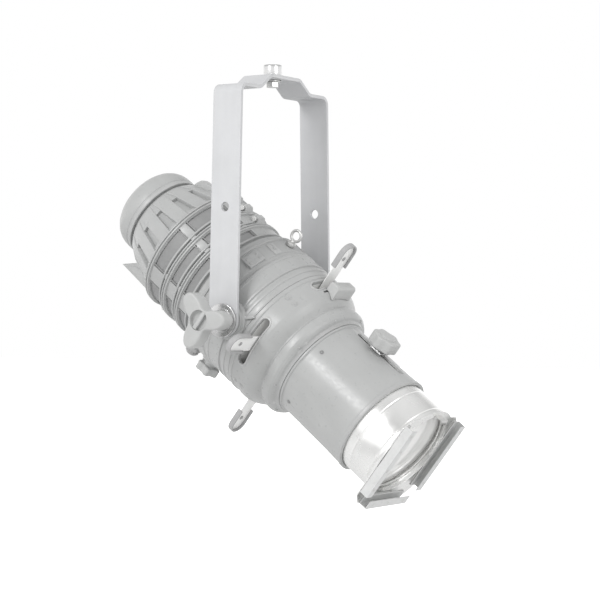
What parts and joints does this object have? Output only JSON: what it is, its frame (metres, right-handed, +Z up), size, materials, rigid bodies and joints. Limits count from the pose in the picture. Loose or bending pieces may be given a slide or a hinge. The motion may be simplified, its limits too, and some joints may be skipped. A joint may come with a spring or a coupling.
{
  "type": "profile spotlight",
  "caption": "Stage profile spotlight in a strap yoke: split ribbed lamp housing, four shutters, turning gate, sliding lens tube and colour-frame holder, hung by a spigot.",
  "frame": {"origin": "centre of the hanging spigot's top face", "axes": "+Z up along the hanging axis, beam tilted down towards -Y, tilt axis along X, tilt knob on the -X leg"},
  "size_m": [0.3549, 0.574, 0.6551],
  "materials": {
    "body_paint": "fine-textured dark powder coat",
    "yoke_paint": "smooth grey coat",
    "tube_aluminium": "drawn, bright anodised",
    "spigot_steel": "turned and plated",
    "fixings_steel": "zinc plated",
    "shutter_steel": "rolled stainless sheet",
    "grip_rubber": "matt moulded rim",
    "knob_plastic": "moulded, fine grain",
    "cover_plastic": "pale grey coat",
    "reflector_mirror": "bright mirror, faceted",
    "optic_glass": "clear, polished",
    "socket_ceramic": "unglazed ceramic"
  },
  "bodies": {
    "root": {"hanging_spigot": "spigot_steel", "spigot_bolt": "fixings_steel", "spigot_washer": "fixings_steel"},
    "yoke": {"yoke_strap": "yoke_paint"},
    "tilt_lock": {"tilt_knob": "knob_plastic", "tilt_stud": "fixings_steel", "tilt_knob_washer": "spigot_steel"},
    "head": {"housing_near": "body_paint", "housing_far": "body_paint", "pivot_housing": "body_paint", "friction_disc_near": "grip_rubber", "friction_disc_far": "grip_rubber", "pivot_bolt": "fixings_steel", "pivot_washer": "fixings_steel", "reflector": "reflector_mirror", "gland_plate": "body_paint", "cable_gland": "grip_rubber", "safety_eye": "fixings_steel", "seam_screw_1": "fixings_steel", "seam_screw_2": "fixings_steel", "seam_screw_3": "fixings_steel", "seam_screw_4": "fixings_steel", "seam_screw_5": "fixings_steel", "seam_screw_6": "fixings_steel"},
    "burner": {"rear_cap": "body_paint", "lamp_socket": "socket_ceramic", "lamp": "optic_glass"},
    "gate": {"gate_housing": "body_paint", "turning_sleeve": "shutter_steel", "gate_plate_rear": "shutter_steel", "gate_plate_front": "shutter_steel", "barrel": "body_paint"},
    "slot_cover": {"pattern_slot_cover": "cover_plastic"},
    "turn_lock": {"lock_knob": "knob_plastic", "lock_screw": "fixings_steel"},
    "lens_carrier": {"lens_tube": "tube_aluminium", "front_lens": "optic_glass", "rear_lens": "optic_glass", "front_lens_ring": "body_paint", "rear_lens_ring": "body_paint", "frame_plate": "tube_aluminium", "frame_channel_near": "tube_aluminium", "frame_channel_far": "tube_aluminium", "frame_channel_bottom": "tube_aluminium", "focus_stud": "fixings_steel", "focus_washer": "spigot_steel"},
    "focus_lock": {"focus_knob": "knob_plastic"},
    "shutter_top": {"shutter_blade_top": "shutter_steel", "shutter_grip_top": "grip_rubber"},
    "shutter_near": {"shutter_blade_near": "shutter_steel", "shutter_grip_near": "grip_rubber"},
    "shutter_bottom": {"shutter_blade_bottom": "shutter_steel", "shutter_grip_bottom": "grip_rubber"},
    "shutter_far": {"shutter_blade_far": "shutter_steel", "shutter_grip_far": "grip_rubber"}
  },
  "joints": [
    {"name": "yoke_pan", "type": "hinge", "parent": "root", "child": "yoke", "pos_m": [0, 0, -0.018], "axis": [0, 0, 1], "continuous": true},
    {"name": "tilt_knob_turn", "type": "hinge", "parent": "yoke", "child": "tilt_lock", "pos_m": [-0.17, 0, -0.386], "axis": [-1, 0, 0], "continuous": true},
    {"name": "head_tilt", "type": "hinge", "parent": "yoke", "child": "head", "pos_m": [0, 0, -0.386], "axis": [1, 0, 0], "range_deg": [-48, 62]},
    {"name": "burner_trim", "type": "slide", "parent": "head", "child": "burner", "axis": [0, 0.788, 0.6157], "range_m": [0, 0.006]},
    {"name": "gate_turn", "type": "hinge", "parent": "head", "child": "gate", "pos_m": [0, -0.02364, -0.40447], "axis": [0, -0.788, -0.6157], "range_deg": [-25, 25]},
    {"name": "turn_lock_turn", "type": "hinge", "parent": "head", "child": "turn_lock", "pos_m": [0, 0.11848, -0.45968], "axis": [0, 0.6157, -0.788], "continuous": true},
    {"name": "slot_cover_lift", "type": "slide", "parent": "gate", "child": "slot_cover", "axis": [0, -0.6157, 0.788], "range_m": [0, 0.03]},
    {"name": "lens_focus", "type": "slide", "parent": "gate", "child": "lens_carrier", "axis": [0, -0.788, -0.6157], "range_m": [-0.035, 0.045]},
    {"name": "focus_knob_turn", "type": "hinge", "parent": "lens_carrier", "child": "focus_lock", "pos_m": [0, -0.19903, -0.41713], "axis": [0, -0.6157, 0.788], "continuous": true},
    {"name": "shutter_top_slide", "type": "slide", "parent": "gate", "child": "shutter_top", "axis": [0, -0.6157, 0.788], "range_m": [-0.018, 0.035]},
    {"name": "shutter_near_slide", "type": "slide", "parent": "gate", "child": "shutter_near", "axis": [-1, 0, 0], "range_m": [-0.009, 0.043]},
    {"name": "shutter_bottom_slide", "type": "slide", "parent": "gate", "child": "shutter_bottom", "axis": [0, 0.6157, -0.788], "range_m": [-0.018, 0.035]},
    {"name": "shutter_far_slide", "type": "slide", "parent": "gate", "child": "shutter_far", "axis": [1, 0, 0], "range_m": [-0.009, 0.043]}
  ]
}
